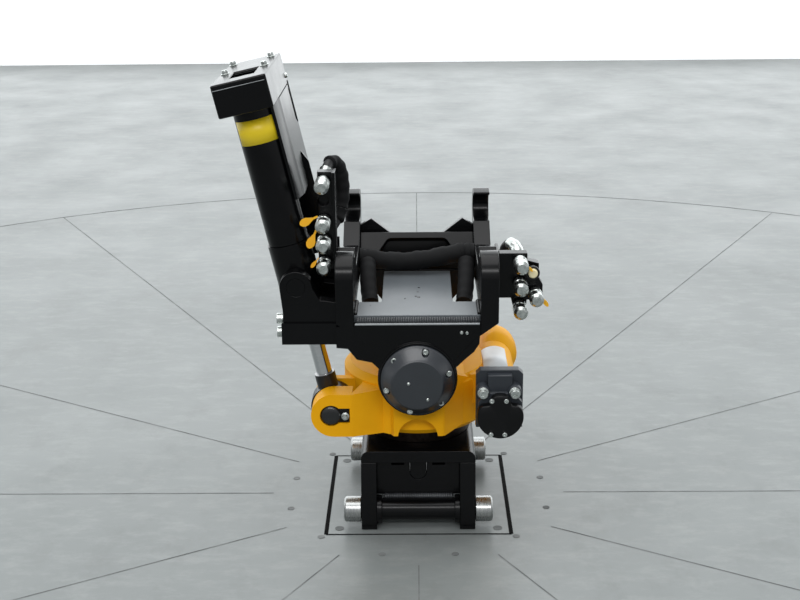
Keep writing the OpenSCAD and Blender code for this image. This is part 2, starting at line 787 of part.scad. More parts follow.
// Bracket arm for one trunnion pin, on the outer face of the left side plate
module trunnion_arm(y0) {
    head_r = 30;
    block_z = tilt_z + 68;
    root_z = corner_out_z + 34;
    neck_drop = 24.5;
    heel = 20;
    color("#141517") difference() {
        xz(y0, y0 + arm_t) polygon(concat(
            [[-hitch_out, block_z + 8], [-hitch_out, root_z], [trunnion_x + head_r + 14, trunnion_z - neck_drop]],
            arc(trunnion_x, trunnion_z, head_r, 0, 180, 20),
            [[arm_end_x, root_z - heel], [arm_end_x, block_z], [-hitch_out - 8, block_z]]));
        rod_y(trunnion_x, trunnion_z, trunnion_d / 2 + run, y0 - 1, y0 + arm_t + 1);
    }
}

// The front arm is relieved where the housing's lug comes up at full tilt
module trunnion_arm_front() {
    tilt_end = 40;
    reach_x = lug_x * cos(tilt_end) + (rod_pin_z - tilt_z) * sin(tilt_end);
    reach_z = tilt_z - lug_x * sin(tilt_end) + (rod_pin_z - tilt_z) * cos(tilt_end);
    color("#141517") difference() {
        trunnion_arm(arm_front_y);
        rod_y(reach_x, reach_z, lug_r + 4, arm_front_y - 1, arm_front_y + arm_t + 1);
    }
}

module trunnion_arm_rear() { trunnion_arm(arm_rear_y); }

// Bolt heads in the left end of the front arm's block
module bracket_bolts() {
    head_r = 10;
    head_len = 13;
    color("#a6a9ab") for (z = [tilt_z + 80, tilt_z + 106])
        rod_x(arm_front_y + arm_t / 2, z, head_r, arm_end_x - head_len, arm_end_x);
}

// Quick coupling seen from its nose: sleeve, groove, ring and hexagon, drawn along +Z from the seat
module coupling() {
    hex_r = coupling_r - 0.5;
    rotate_extrude() polygon([[0, 0], [coupling_r - 3, 0], [coupling_r - 3, 6], [coupling_r, 8],
        [coupling_r, 20], [coupling_r - 2, 22], [coupling_r - 2, 26], [coupling_r, 28],
        [coupling_r, coupling_len - 5], [coupling_r - 4, coupling_len - 1], [coupling_r - 5, coupling_len],
        [0, coupling_len]]);
    translate([0, 0, 9]) cylinder(r = hex_r, h = 8, $fn = 6);
}

module facing_front(x, y, z) {
    translate([x, y, z]) rotate([90, 0, 0]) children();
}

// Coupling block and its plate on the left side plate
module left_coupling_bracket() {
    low_z = left_coupling_z[0] - coupling_r - 0.5;
    block_half = coupling_r - 3;
    high_z = left_coupling_z[3] + 18;
    plate_low = corner_out_z + 30;
    plate_edge = 8;
    port_z = left_coupling_z[2] + 37;
    port_r = 10;
    port_depth = 12;
    color("#1a1b1d") difference() {
        union() {
            translate([-hitch_out - bracket_t, left_block_y - plate_edge, plate_low])
                cube([bracket_t, block_t + 2 * plate_edge, high_z - plate_low]);
            translate([left_line_x - block_half, left_block_y, low_z])
                cube([-hitch_out - bracket_t - left_line_x + block_half, block_t, high_z - low_z]);
        }
        facing_front(left_line_x, left_block_y + port_depth, port_z) cylinder(r = port_r, h = port_depth + 1);
    }
}

module left_couplings() {
    color("#b4b7b8") for (z = left_coupling_z) facing_front(left_line_x, left_block_y, z) coupling();
}

module right_coupling_bracket() {
    block_rise = 14;
    plate_h = 100;
    plate_extra = 30;
    low_z = corner_out_z + block_rise;
    plate_d = block_t + plate_extra;
    color("#1a1b1d") {
        translate([hitch_out, right_block_y - 4, low_z - 6]) cube([bracket_t, plate_d, plate_h]);
        xz(right_block_y, right_block_y + block_t) polygon([
            [hitch_out + bracket_t, low_z], [right_line_x - 16, low_z], [right_line_x - 10, low_z - 26],
            [right_line_x + 14, low_z - 26], [right_line_x + 14, low_z - 4], [right_line_x + 44, low_z - 4],
            [right_line_x + 44, low_z + 26], [right_line_x + 36, low_z + 40], [right_line_x + 36, low_z + 68],
            [right_line_x + 14, low_z + 74], [right_line_x + 14, low_z + 88], [hitch_out + bracket_t, low_z + 88]]);
    }
}

module right_couplings() {
    color("#b4b7b8") for (at = right_coupling_at) facing_front(at[0], right_block_y, at[1]) coupling();
}

module dust_plug() {
    plug_r = 9;
    plug_len = 26;
    color("#e6dcae") facing_front(right_line_x + 23, right_block_y, 506) rotate_extrude()
        polygon([[0, 0], [plug_r - 3, 0], [plug_r - 3, 14], [plug_r, 16], [plug_r, plug_len - 2],
            [plug_r - 2, plug_len], [0, plug_len]]);
}

// Dust cap strap: a band round a coupling sleeve with a short tongue
module strap(x, block_y, z, angle) {
    band_w = 6;
    band_t = 2;
    tongue = 15;
    at = 34;
    facing_front(x, block_y, z) translate([0, 0, at]) rotate(angle) difference() {
        union() {
            cylinder(r = coupling_r + band_t, h = band_w);
            translate([0, -band_w / 2, 0]) cube([coupling_r + tongue, band_w, band_w]);
        }
        translate([0, 0, -1]) cylinder(r = coupling_r + run, h = band_w + 2);
    }
}

module coupling_straps() {
    color("#f0920e") {
        for (i = [0 : 2]) strap(left_line_x, left_block_y, left_coupling_z[i], 185 - 12 * i);
        for (i = [0, 3]) let (at = right_coupling_at[i])
            strap(at[0], right_block_y, at[1], 20 * i - 45);
    }
}

module left_hose() { color("#0f1011") swept(left_route, hose_d / 2); }
module right_hose() { color("#0f1011") swept(right_route, hose_d / 2); }
module cross_hoses() { color("#0f1011") swept(cross_route, hose_d / 2); }

// Tilt cylinder, drawn in the cylinder's own frame

module cylinder_barrel() {
    color("#141517") on_cylinder() difference() {
        translate([0, 0, ring_up]) cylinder(d = barrel_d, h = barrel_top - ring_up);
        translate([0, 0, ring_up - 1]) cylinder(d = bore_d, h = barrel_top - ring_up + 2);
    }
}

module trunnion_ring() {
    color("#191a1c") on_cylinder() difference() {
        union() {
            translate([0, 0, -gland_in]) cylinder(r = ring_r, h = gland_in + ring_up);
            rod_y(0, 0, trunnion_d / 2, -arm_gap / 2 - arm_t, arm_gap / 2 + arm_t);
        }
        translate([0, 0, -gland_in - 1]) cylinder(d = bore_d, h = gland_in + ring_up + 2);
    }
}

module cylinder_gland() {
    gland_r = barrel_d / 2 - 2;
    color("#202224") on_cylinder() difference() {
        translate([0, 0, -gland_out]) cylinder(r = gland_r, h = gland_out - gland_in);
        translate([0, 0, -gland_out - 1]) cylinder(d = rod_d + 2 * run, h = gland_out - gland_in + 2);
    }
}

module barrel_end_cap() {
    cap_h = 20;
    post_r = 14;
    color("#141517") on_cylinder() {
        translate([0, 0, barrel_top]) cylinder(d = barrel_d, h = cap_h);
        translate([0, 0, barrel_top + cap_h]) cylinder(r = post_r, h = hood_low + hood_h - hood_wall - barrel_top - cap_h);
    }
}

// Open-bottomed hood over the hose ports at the barrel's end
module hose_hood() {
    slot_w = 46;
    slot_d = 83;
    slot_y = 46 - hood_front;
    hood_d = hood_front + hood_back;
    color("#121315") on_cylinder() translate([0, 0, hood_low]) difference() {
        translate([-hood_w / 2, -hood_front, 0]) cube([hood_w, hood_d, hood_h]);
        translate([-hood_w / 2 + hood_wall, -hood_front + hood_wall, -1])
            cube([hood_w - 2 * hood_wall, hood_d - 2 * hood_wall, hood_h - hood_wall + 1]);
        translate([-slot_w / 2, slot_y, hood_h / 2]) cube([slot_w, slot_d, hood_h]);
    }
}

// Long guard sheet below the hood, flush with its side and bent in toward the barrel at the front
module hood_guard() {
    guard_t = 6;
    low = 150;
    out_x = hood_w / 2;
    bend_y = 15;
    lip = [barrel_d / 2 + 2, -24];
    lip_back = [lip[0] - guard_t + 0.2, -22.5];
    rib_w = 10;
    rib_h = 24;
    slot_drop = 68;
    color("#121315") on_cylinder() {
        difference() {
            translate([0, 0, low]) linear_extrude(hood_low - low) polygon([lip, [out_x, bend_y], [out_x, hood_back],
                [out_x - guard_t, hood_back], [out_x - guard_t, bend_y + 1], lip_back]);
            translate([out_x - guard_t - 1, hood_back - 22, hood_low - slot_drop])
                cube([guard_t + 2, 14, slot_drop - 8]);
        }
        for (z = [low + 14, low + 96])
            translate([barrel_d / 2, -rib_w / 2, z]) cube([lip[0] + 2 - barrel_d / 2, rib_w, rib_h]);
    }
}

module piston_rod() {
    collar_r = 20;
    rod_from = -cyl_len + rod_collar;
    color("#c9ccce") on_cylinder() difference() {
        union() {
            translate([0, 0, rod_from]) cylinder(d = rod_d, h = piston_rest + piston_t - rod_from);
            translate([0, 0, -cyl_len]) cylinder(r = collar_r, h = rod_collar);
            rod_y(0, -cyl_len, eye_r, -eye_t / 2, eye_t / 2);
        }
        rod_y(0, -cyl_len, rod_pin_d / 2 + eye_bush_t, -eye_t, eye_t);
    }
}

module rod_eye_bush() {
    color("#a98b4a") on_cylinder() difference() {
        rod_y(0, -cyl_len, rod_pin_d / 2 + eye_bush_t - run, -eye_t / 2, eye_t / 2);
        rod_y(0, -cyl_len, rod_pin_d / 2 + run, -eye_t, eye_t);
    }
}

module piston() {
    color("#55585a") on_cylinder() difference() {
        translate([0, 0, piston_rest]) cylinder(r = bore_d / 2 - run, h = piston_t);
        translate([0, 0, piston_rest - 1]) cylinder(r = rod_d / 2 + run, h = piston_t + 2);
    }
}

coupler_left_plate();
coupler_right_plate();
coupler_top_plate();
coupler_front_panel();
coupler_rear_panel();
coupler_cross_tubes();
front_pin_left();
front_pin_right();
rear_pin_left();
rear_pin_right();
rotor_flange();
worm_wheel();
lock_cylinder();
lock_wedge();
rotor_housing();
rotor_bearing();
axle_bushes();
worm_bearings();
worm_end_cover();
motor_flange();
motor_body();
motor_cover();
rod_pins();
pin_keeper();
worm();
hitch_left_plate();
hitch_right_plate();
hitch_front_plate();
hitch_rear_plate();
hitch_deck();
hitch_arch();
hitch_gussets();
tilt_axle();
axle_cap_front();
axle_cap_rear();
trunnion_arm_front();
trunnion_arm_rear();
bracket_bolts();
left_coupling_bracket();
left_couplings();
left_hose();
right_coupling_bracket();
right_couplings();
right_hose();
dust_plug();
coupling_straps();
cross_hoses();
cylinder_barrel();
trunnion_ring();
cylinder_gland();
barrel_end_cap();
hose_hood();
hood_guard();
piston_rod();
piston();
rod_eye_bush();
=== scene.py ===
"""Looks of the excavator tilt rotator on the CAD frame: camera, finishes, hoses, fittings and stage."""
import json
import math

import bmesh
import bpy
from mathutils import Matrix, Vector


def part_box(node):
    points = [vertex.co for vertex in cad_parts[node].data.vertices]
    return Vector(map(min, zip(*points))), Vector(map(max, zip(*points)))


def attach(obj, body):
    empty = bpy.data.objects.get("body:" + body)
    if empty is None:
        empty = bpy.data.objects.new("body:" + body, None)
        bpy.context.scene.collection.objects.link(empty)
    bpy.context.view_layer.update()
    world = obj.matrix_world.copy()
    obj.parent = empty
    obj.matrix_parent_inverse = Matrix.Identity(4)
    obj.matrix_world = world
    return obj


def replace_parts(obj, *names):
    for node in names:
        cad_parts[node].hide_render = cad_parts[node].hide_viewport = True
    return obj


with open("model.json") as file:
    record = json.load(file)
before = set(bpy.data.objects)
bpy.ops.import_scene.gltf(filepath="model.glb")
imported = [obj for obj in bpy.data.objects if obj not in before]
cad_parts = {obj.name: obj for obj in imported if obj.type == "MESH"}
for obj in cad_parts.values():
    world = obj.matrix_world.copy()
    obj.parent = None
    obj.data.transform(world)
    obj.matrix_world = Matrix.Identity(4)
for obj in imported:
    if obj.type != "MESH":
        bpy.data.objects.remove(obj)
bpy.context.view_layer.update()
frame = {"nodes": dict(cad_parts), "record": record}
NODES = frame["nodes"]
MM = 0.001

# Camera, found from the square plate under the object: focal length in pixels of the 800 pixel wide frame
FOCAL_PX = 1310.0
FRAME_PX = 800.0
SENSOR_MM = 36.0
CAMERA_AT = (0.0, -2.456, 1.2267)
PITCH = math.radians(18.2)
YAW = math.radians(-0.79)
ROLL = math.radians(0.6)


def add_camera():
    """Camera at the photograph's place, pitched down, with a slight roll."""
    forward = Vector((math.sin(YAW) * math.cos(PITCH), math.cos(YAW) * math.cos(PITCH), -math.sin(PITCH)))
    level = Vector((math.cos(YAW), -math.sin(YAW), 0.0))
    down = forward.cross(level)
    right = math.cos(ROLL) * level + math.sin(ROLL) * down
    up = math.sin(ROLL) * level - math.cos(ROLL) * down
    turn = Matrix((right, up, -forward)).transposed()
    lens = bpy.data.cameras.new("camera")
    lens.sensor_width = SENSOR_MM
    lens.lens = FOCAL_PX / FRAME_PX * SENSOR_MM
    camera = bpy.data.objects.new("camera", lens)
    camera.matrix_world = Matrix.Translation(CAMERA_AT) @ turn.to_4x4()
    bpy.context.scene.collection.objects.link(camera)
    bpy.context.scene.camera = camera


add_camera()


class Nodes:
    """A material's node tree with short calls for the nodes that the finishes use."""

    def __init__(self, name):
        self.material = bpy.data.materials.new(name)
        self.material.use_nodes = True
        self.tree = self.material.node_tree
        self.shader = self.tree.nodes["Principled BSDF"]
        self.place = self.tree.nodes.new("ShaderNodeTexCoord").outputs["Object"]

    def set(self, **values):
        for key, value in values.items():
            self.shader.inputs[key.replace("_", " ")].default_value = value

    def wire(self, source, target):
        self.tree.links.new(source, target)

    def into(self, source, name):
        self.wire(source, self.shader.inputs[name])

    def noise(self, scale, detail=3.0, rough=0.55, stretch=(1, 1, 1)):
        place = self.tree.nodes.new("ShaderNodeMapping")
        place.inputs["Scale"].default_value = stretch
        self.wire(self.place, place.inputs["Vector"])
        noise = self.tree.nodes.new("ShaderNodeTexNoise")
        noise.inputs["Scale"].default_value = scale
        noise.inputs["Detail"].default_value = detail
        noise.inputs["Roughness"].default_value = rough
        self.wire(place.outputs["Vector"], noise.inputs["Vector"])
        return noise.outputs["Fac"]

    def span(self, source, low, high, start=0.3, end=0.7):
        ramp = self.tree.nodes.new("ShaderNodeMapRange")
        ramp.inputs["From Min"].default_value = start
        ramp.inputs["From Max"].default_value = end
        ramp.inputs["To Min"].default_value = low
        ramp.inputs["To Max"].default_value = high
        self.wire(source, ramp.inputs["Value"])
        return ramp.outputs["Result"]

    def mix(self, factor, a, b):
        mix = self.tree.nodes.new("ShaderNodeMix")
        mix.data_type = "RGBA"
        self.wire(factor, mix.inputs["Factor"])
        for value, socket in ((a, mix.inputs["A"]), (b, mix.inputs["B"])):
            if isinstance(value, tuple):
                socket.default_value = (*value, 1.0)
            else:
                self.wire(value, socket)
        return mix.outputs["Result"]

    def along(self, axis):
        """Distance along an axis through the origin, in metres."""
        dot = self.tree.nodes.new("ShaderNodeVectorMath")
        dot.operation = "DOT_PRODUCT"
        dot.inputs[1].default_value = axis
        self.wire(self.place, dot.inputs[0])
        return dot.outputs["Value"]

    def bump(self, height, strength, distance):
        bump = self.tree.nodes.new("ShaderNodeBump")
        bump.inputs["Strength"].default_value = strength
        bump.inputs["Distance"].default_value = distance
        self.wire(height, bump.inputs["Height"])
        self.into(bump.outputs["Normal"], "Normal")


def paint(name, dark, light, rough, peel=0.05, gloss=0.5):
    """Painted metal: slight colour drift, uneven gloss and a fine orange peel."""
    n = Nodes(name)
    n.into(n.mix(n.span(n.noise(9.0, 4.0), 0.0, 1.0), dark, light), "Base Color")
    n.into(n.span(n.noise(14.0, 4.0), rough - 0.02, rough + 0.03), "Roughness")
    n.bump(n.noise(700.0, 2.0), peel, 0.0004)
    n.set(Specular_IOR_Level=gloss)
    return n.material


def metal(name, dark, light, rough, lines=(1, 1, 1), scale=120.0):
    """Bare metal: fine lines along one axis in colour, gloss and relief."""
    n = Nodes(name)
    grain = n.noise(scale, 3.0, 0.6, lines)
    n.into(n.mix(n.span(grain, 0.0, 1.0), dark, light), "Base Color")
    n.into(n.span(grain, rough - 0.05, rough + 0.09), "Roughness")
    n.bump(grain, 0.05, 0.0003)
    n.set(Metallic=1.0)
    return n.material


# Tilt cylinder at rest, in millimetres: trunnion, rod pin, unit vectors up the barrel and to its right
TRUNNION = Vector((-223.0, -100.0, 499.5))
ROD_PIN = Vector((-165.0, -100.0, 242.5))
BARREL_UP = (TRUNNION - ROD_PIN).normalized()
BARREL_SIDE = Vector((BARREL_UP.z, 0.0, -BARREL_UP.x))
BARREL_R = 38.0
ROD_COLLAR = 66.0


def rod_finish():
    """Chromed rod whose collar and eye are painted black."""
    n = Nodes("chrome")
    grain = n.noise(160.0, 3.0, 0.6, (1, 1, 5))
    collar_end = (BARREL_UP.dot(ROD_PIN) + ROD_COLLAR) * MM
    bare = n.span(n.along(BARREL_UP), 0.0, 1.0, collar_end - 0.0002, collar_end + 0.0002)
    chrome = n.mix(n.span(grain, 0.0, 1.0), (0.60, 0.60, 0.61), (0.72, 0.73, 0.74))
    n.into(n.mix(bare, (0.006, 0.0062, 0.007), chrome), "Base Color")
    n.into(n.span(bare, 0.34, 0.14, 0.0, 1.0), "Roughness")
    n.into(bare, "Metallic")
    n.bump(grain, 0.04, 0.0003)
    return n.material


BLACK = paint("black_paint", (0.0012, 0.0013, 0.0016), (0.0024, 0.0026, 0.0031), 0.22, 0.03, 0.22)
DECK = paint("deck_paint", (0.100, 0.112, 0.122), (0.122, 0.135, 0.146), 0.30, 0.02, 0.35)
YELLOW = paint("yellow_paint", (0.82, 0.37, 0.003), (0.90, 0.43, 0.005), 0.50, 0.14, 0.12)
CAP = paint("cap_grey", (0.010, 0.013, 0.018), (0.017, 0.021, 0.028), 0.34, 0.04, 0.9)
MOTOR = paint("motor_black", (0.0014, 0.0015, 0.0018), (0.0026, 0.0028, 0.0033), 0.36, 0.04, 0.25)
FLANGE = paint("motor_grey", (0.020, 0.024, 0.030), (0.030, 0.035, 0.042), 0.34, 0.04, 0.4)
TEXTILE = paint("hose_textile", (0.0035, 0.0036, 0.004), (0.008, 0.0083, 0.009), 0.75, 0.5, 0.2)
PIN = metal("bright_steel", (0.36, 0.37, 0.37), (0.43, 0.44, 0.43), 0.27, (12, 1, 1), 40.0)
DARK = metal("dark_steel", (0.018, 0.014, 0.012), (0.040, 0.031, 0.027), 0.40)
CHROME = rod_finish()
ZINC = metal("zinc", (0.46, 0.49, 0.47), (0.70, 0.73, 0.71), 0.26)
BRONZE = metal("bronze", (0.42, 0.29, 0.11), (0.52, 0.38, 0.17), 0.30)
RUBBER = paint("hose_rubber", (0.006, 0.006, 0.0065), (0.011, 0.011, 0.012), 0.48, 0.2, 0.4)
ORANGE = paint("orange_strap", (0.92, 0.42, 0.010), (0.95, 0.52, 0.020), 0.42)
CREAM = paint("cream_plastic", (0.80, 0.70, 0.38), (0.86, 0.78, 0.50), 0.38)
STICKER = paint("blank_sticker", (0.94, 0.68, 0.016), (0.97, 0.74, 0.026), 0.36)
# Weld beads: grey lighter than the black paint, with strong orange peel, as painted sheen for the light
# that glossy black beads catch
WELD = paint("weld_painted_sheen", (0.012, 0.013, 0.015), (0.075, 0.080, 0.086), 0.30, 0.6, 0.6)
# Light grey for thin lines that paint the highlights of bevelled edges on black parts
EDGE_GLINT = paint("painted_edge_glint", (0.20, 0.215, 0.225), (0.36, 0.38, 0.39), 0.32, 0.2, 0.6)
KEEPER = paint("keeper_black", (0.003, 0.0032, 0.0038), (0.006, 0.0064, 0.0072), 0.26, 0.04, 0.7)
# Matt black for the sheet that paints the shade seen through the guard's slot
MATT = paint("matt_black", (0.0015, 0.0015, 0.0016), (0.003, 0.003, 0.0032), 0.85, 0.05, 0.03)
LABEL = paint("blank_label", (0.62, 0.66, 0.68), (0.74, 0.77, 0.79), 0.34)

SLOTS = {
    "black_paint": BLACK, "deck_paint": DECK, "yellow_paint": YELLOW, "bright_steel": PIN,
    "dark_steel": DARK, "cap_grey": CAP, "motor_black": MOTOR, "chrome": CHROME, "zinc": ZINC,
    "bronze": BRONZE, "hose_rubber": RUBBER, "orange_strap": ORANGE, "cream_plastic": CREAM}

# Nodes whose finish isn't their slot's own
FINISHES = {"motor_flange": FLANGE, "motor_body": FLANGE}


def link(name, data):
    """A new object for a mesh or curve, in the scene."""
    made = bpy.data.objects.new(name, data)
    bpy.context.scene.collection.objects.link(made)
    return made


def smooth_route(points, steps=4):
    """Points on a smooth curve through a route."""
    route = [Vector(p) for p in points]
    ends = [2 * route[0] - route[1]] + route + [2 * route[-1] - route[-2]]
    line = []
    for a, b, c, d in zip(ends, ends[1:], ends[2:], ends[3:]):
        for i in range(steps):
            t = i / steps
            line.append(0.5 * (2 * b + (c - a) * t + (2 * a - 5 * b + 4 * c - d) * t * t
                               + (3 * b - a - 3 * c + d) * t ** 3))
    return line + [route[-1]]


# Hose routes of the CAD model, in millimetres
HOSE_R = 9.5
LEFT_HOSE = [
    (-171, -91.7, 686), (-171, -78, 686), (-168, -60, 697.5), (-161, -42, 705.5), (-150, -26, 699.5),
    (-143, -16, 677.5), (-141, -14, 647.5), (-144, -20, 617.5), (-152, -34, 593.5), (-163, -54, 579.5),
    (-171, -76, 575), (-171, -91.7, 575)]
RIGHT_HOSE = [
    (194, -63.7, 524), (194, -50, 524), (191, -32, 533), (183, -14, 537), (174, 2, 528),
    (169, 12, 508), (168, 17, 486), (164, 18, 470), (158, 18, 465), (149.3, 18, 465)]
CROSS_HOSE = [
    (-115.7, 84, 482), (-100, 84, 482), (-70, 81, 477), (-30, 79, 475), (10, 80, 478),
    (50, 84, 484), (85, 88, 490), (100, 89, 491), (115.7, 89, 491)]


def add_hose(node, route):
    """Hydraulic hose on a smooth curve through its route, fast at both ends."""
    line = smooth_route(route)
    curve = bpy.data.curves.new(node + "_line", "CURVE")
    curve.dimensions = "3D"
    curve.bevel_depth = HOSE_R * MM
    curve.bevel_resolution = 5
    curve.use_fill_caps = True
    spline = curve.splines.new("POLY")
    spline.points.add(len(line) - 1)
    for point, at in zip(spline.points, line):
        point.co = (*(at * MM), 1.0)
    curve.materials.append(RUBBER)
    hose = link(node + "_line", curve)
    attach(hose, "upper_hitch")
    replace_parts(hose, node)


add_hose("left_hose", LEFT_HOSE)
add_hose("right_hose", RIGHT_HOSE)
add_hose("cross_hoses", CROSS_HOSE)

# Width of the broken edges of the CAD nodes, in millimetres; nodes that aren't named here get EDGE
EDGE = 1.2
EDGES = {
    "rotor_housing": 2.5, "hitch_left_plate": 1.8, "hitch_right_plate": 1.8, "hitch_arch": 1.6,
    "coupler_left_plate": 2.0, "coupler_right_plate": 2.0, "left_couplings": 0.5, "right_couplings": 0.5,
    "dust_plug": 0.4, "hose_hood": 3.0, "hood_guard": 1.0, "hitch_front_plate": 2.2, "pin_keeper": 1.5,
    "axle_cap_front": 1.0, "axle_cap_rear": 1.0}

# Nodes whose edges stay as they are: those inside the object, and those that a piece made here replaces
PLAIN = {
    "worm", "worm_wheel", "worm_bearings", "axle_bushes", "rotor_bearing", "piston", "rod_eye_bush",
    "left_hose", "right_hose", "cross_hoses", "motor_cover", "coupling_straps"}


def break_edges(node, width):
    """Rounds a node's hard edges with modifiers, which leave its mesh as it is."""
    weld = node.modifiers.new("weld", "WELD")
    weld.merge_threshold = 0.01 * MM
    flat = node.modifiers.new("flat", "DECIMATE")
    flat.decimate_type = "DISSOLVE"
    flat.angle_limit = math.radians(0.5)
    bevel = node.modifiers.new("edges", "BEVEL")
    bevel.width = width * MM
    bevel.segments = 3
    bevel.limit_method = "ANGLE"
    bevel.angle_limit = math.radians(28)
    bevel.use_clamp_overlap = True
    even = node.modifiers.new("even", "WEIGHTED_NORMAL")
    even.keep_sharp = False
    even.weight = 60


def dress_nodes():
    """Each CAD node takes the finish of its slot, and its hard edges are broken a little."""
    for part in frame["record"]["subparts"]:
        node = NODES[part["node"]]
        node.data.materials.clear()
        node.data.materials.append(FINISHES.get(part["node"], SLOTS[part["material_slot"]]))
        if part["node"] not in PLAIN:
            break_edges(node, EDGES.get(part["node"], EDGE))


dress_nodes()


def box_mm(node):
    """Low and high corner of a CAD node's box, in millimetres."""
    return [Vector(corner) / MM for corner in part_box(node)]


def polygon_radius(r, flats, angle):
    """Radius at an angle of a circle, or of a regular polygon with that many flats."""
    if not flats:
        return r
    part = 2 * math.pi / flats
    return r * math.cos(part / 2) / math.cos(angle % part - part / 2)


class Shape:
    """A mesh in the making, in millimetres."""

    def __init__(self):
        self.mesh = bmesh.new()

    def rings(self, rows):
        """Skins neighbouring rings of equal count and closes both ends."""
        made = [[self.mesh.verts.new(p) for p in row] for row in rows]
        for a, b in zip(made, made[1:]):
            for k in range(len(a)):
                self.mesh.faces.new((a[k], a[k - 1], b[k - 1], b[k]))
        self.mesh.faces.new(made[0])
        self.mesh.faces.new(made[-1][::-1])

    def slab(self, outline, front, back):
        """Plate with an outline of (x, z) points, between two depths."""
        self.rings([[Vector((x, y, z)) for x, z in outline] for y in (front, back)])

    def lathe(self, profile, at, axis, sides=24):
        """Turned form along an axis from a place: rows of radius, height and, for a polygon, its flats."""
        along = Vector(axis).normalized()
        u = along.orthogonal().normalized()
        v = along.cross(u)
        turns = [2 * math.pi * k / sides for k in range(sides)]
        rows = []
        for r, h, *flats in profile:
            middle = Vector(at) + along * h
            reach = [polygon_radius(max(r, 0.01), flats and flats[0], a) for a in turns]
            rows.append([middle + d * (u * math.cos(a) + v * math.sin(a)) for a, d in zip(turns, reach)])
        self.rings(rows)

    def tube(self, points, radii, sides=12):
        """Round tube along points with a radius at each."""
        turns = [2 * math.pi * k / sides for k in range(sides)]
        rows = []
        for i, point in enumerate(points):
            along = (points[min(i + 1, len(points) - 1)] - points[max(i - 1, 0)]).normalized()
            guide = Vector((0, 0, 1)) if abs(along.z) < 0.9 else Vector((0, 1, 0))
            u = guide.cross(along).normalized()
            v = along.cross(u)
            rows.append([point + radii[i] * (u * math.cos(a) + v * math.sin(a)) for a in turns])
        self.rings(rows)

    def piece(self, name, material, sharp=35):
        """The mesh as an object in the scene."""
        bmesh.ops.recalc_face_normals(self.mesh, faces=self.mesh.faces)
        bmesh.ops.scale(self.mesh, vec=(MM, MM, MM), verts=self.mesh.verts)
        data = bpy.data.meshes.new(name)
        self.mesh.to_mesh(data)
        self.mesh.free()
        data.shade_smooth()
        data.set_sharp_from_angle(angle=math.radians(sharp))
        data.materials.append(material)
        return link(name, data)

    def place(self, name, material, body, slot, sharp=35):
        """The mesh as a piece that rides on a body."""
        piece = self.piece(name, material, sharp)
        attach(piece, body)
        return piece


def socket_head(r, h):
    """Cap screw head with a hexagon socket."""
    floor = 0.45 * h
    return [(r, 0), (r, h - 0.8), (r - 0.8, h), (0.58 * r, h), (0.56 * r, h - 0.1, 6), (0.54 * r, floor, 6),
            (0, floor)]


def hexagon_head(r, h):
    """Flanged hexagon head."""
    flange = 1.35 * r
    return [(flange, 0), (flange, 1.2), (1.2 * r, 1.8), (r, 2.0, 6), (r, h - 1.0, 6), (0.86 * r, h),
            (0.3 * r, h), (0, h - 0.4)]


def button_head(r, h):
    """Low round head."""
    floor = 0.6 * h
    return [(r, 0), (0.97 * r, 0.4 * h), (0.75 * r, 0.85 * h), (0.4 * r, h), (0.38 * r, floor, 6),
            (0, floor)]


def on_barrel(side, back, up):
    """Place of a point that is given in the tilt cylinder's own frame, from the trunnion."""
    return TRUNNION + BARREL_SIDE * side + Vector((0, 1, 0)) * back + BARREL_UP * up


FRONT = (0, -1, 0)
BACK = (0, 1, 0)

# Planes and centres of the CAD model that the fittings sit on, in millimetres
TILT_Z = 330.0
TUBE_X = 154.0
TUBE_Z = 274.0
HITCH_FRONT = box_mm("hitch_left_plate")[0].y
HITCH_OUT = box_mm("hitch_right_plate")[1].x
DECK_LOW, DECK_HIGH = box_mm("hitch_deck")
KEEPER_FACE = box_mm("pin_keeper")[0].y
FLANGE_FACE = box_mm("motor_flange")[0].y
COVER_LOW, COVER_HIGH = box_mm("motor_cover")
FRONT_CAP_FACE = box_mm("axle_cap_front")[0].y
REAR_CAP_FACE = box_mm("axle_cap_rear")[1].y
ARM_FACE = box_mm("trunnion_arm_front")[0].y


def add_cap_screws():
    """Six screws in the pockets of each axle cap, and two grease nipples on the front one."""
    count = 6
    circle_r = 60
    first_turn = 16
    pocket = 22
    head = socket_head(5.6, 6.5)
    nipple = [(2.8, 0), (2.8, 1.2), (1.6, 1.8), (1.4, 3.0), (0, 3.4)]
    screws = Shape()
    for i in range(count):
        turn = math.radians(first_turn + 360 / count * i)
        x = circle_r * math.cos(turn)
        rise = circle_r * math.sin(turn)
        screws.lathe(head, (x, FRONT_CAP_FACE + pocket, TILT_Z + rise), FRONT)
        screws.lathe(head, (x, REAR_CAP_FACE - pocket, TILT_Z - rise), BACK)
    for x, z in ((-16.6, 333.7), (18.2, 302.3)):
        screws.lathe(nipple, (x, FRONT_CAP_FACE, z), FRONT)
    screws.place("cap_screws", ZINC, "upper_hitch", "zinc")


def add_motor_cover():
    """Round motor cover with a hollow at each flange screw."""
    steps = 96
    hollow_depth = 11.0
    hollow_width = 15
    middle = (COVER_LOW + COVER_HIGH) / 2
    half = min(COVER_HIGH.x - COVER_LOW.x, COVER_HIGH.z - COVER_LOW.z) / 2 - 0.5
    outline = []
    for k in range(steps):
        turn = 360 / steps * k
        hollow = sum(hollow_depth * math.exp(-((turn - screw) / hollow_width) ** 2) for screw in (50, 130))
        outline.append((half - hollow, math.radians(turn)))
    face = COVER_LOW.y
    rows = []
    for y, inset in ((COVER_HIGH.y, 0.0), (face + 4, 0.0), (face + 1.2, 1.0), (face, 3.2)):
        rows.append([Vector((middle.x + (r - inset) * math.cos(a), y, middle.z + (r - inset) * math.sin(a)))
                     for r, a in outline])
    shape = Shape()
    shape.rings(rows)
    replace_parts(shape.place("motor_round_cover", MOTOR, "housing", "motor_black"), "motor_cover")


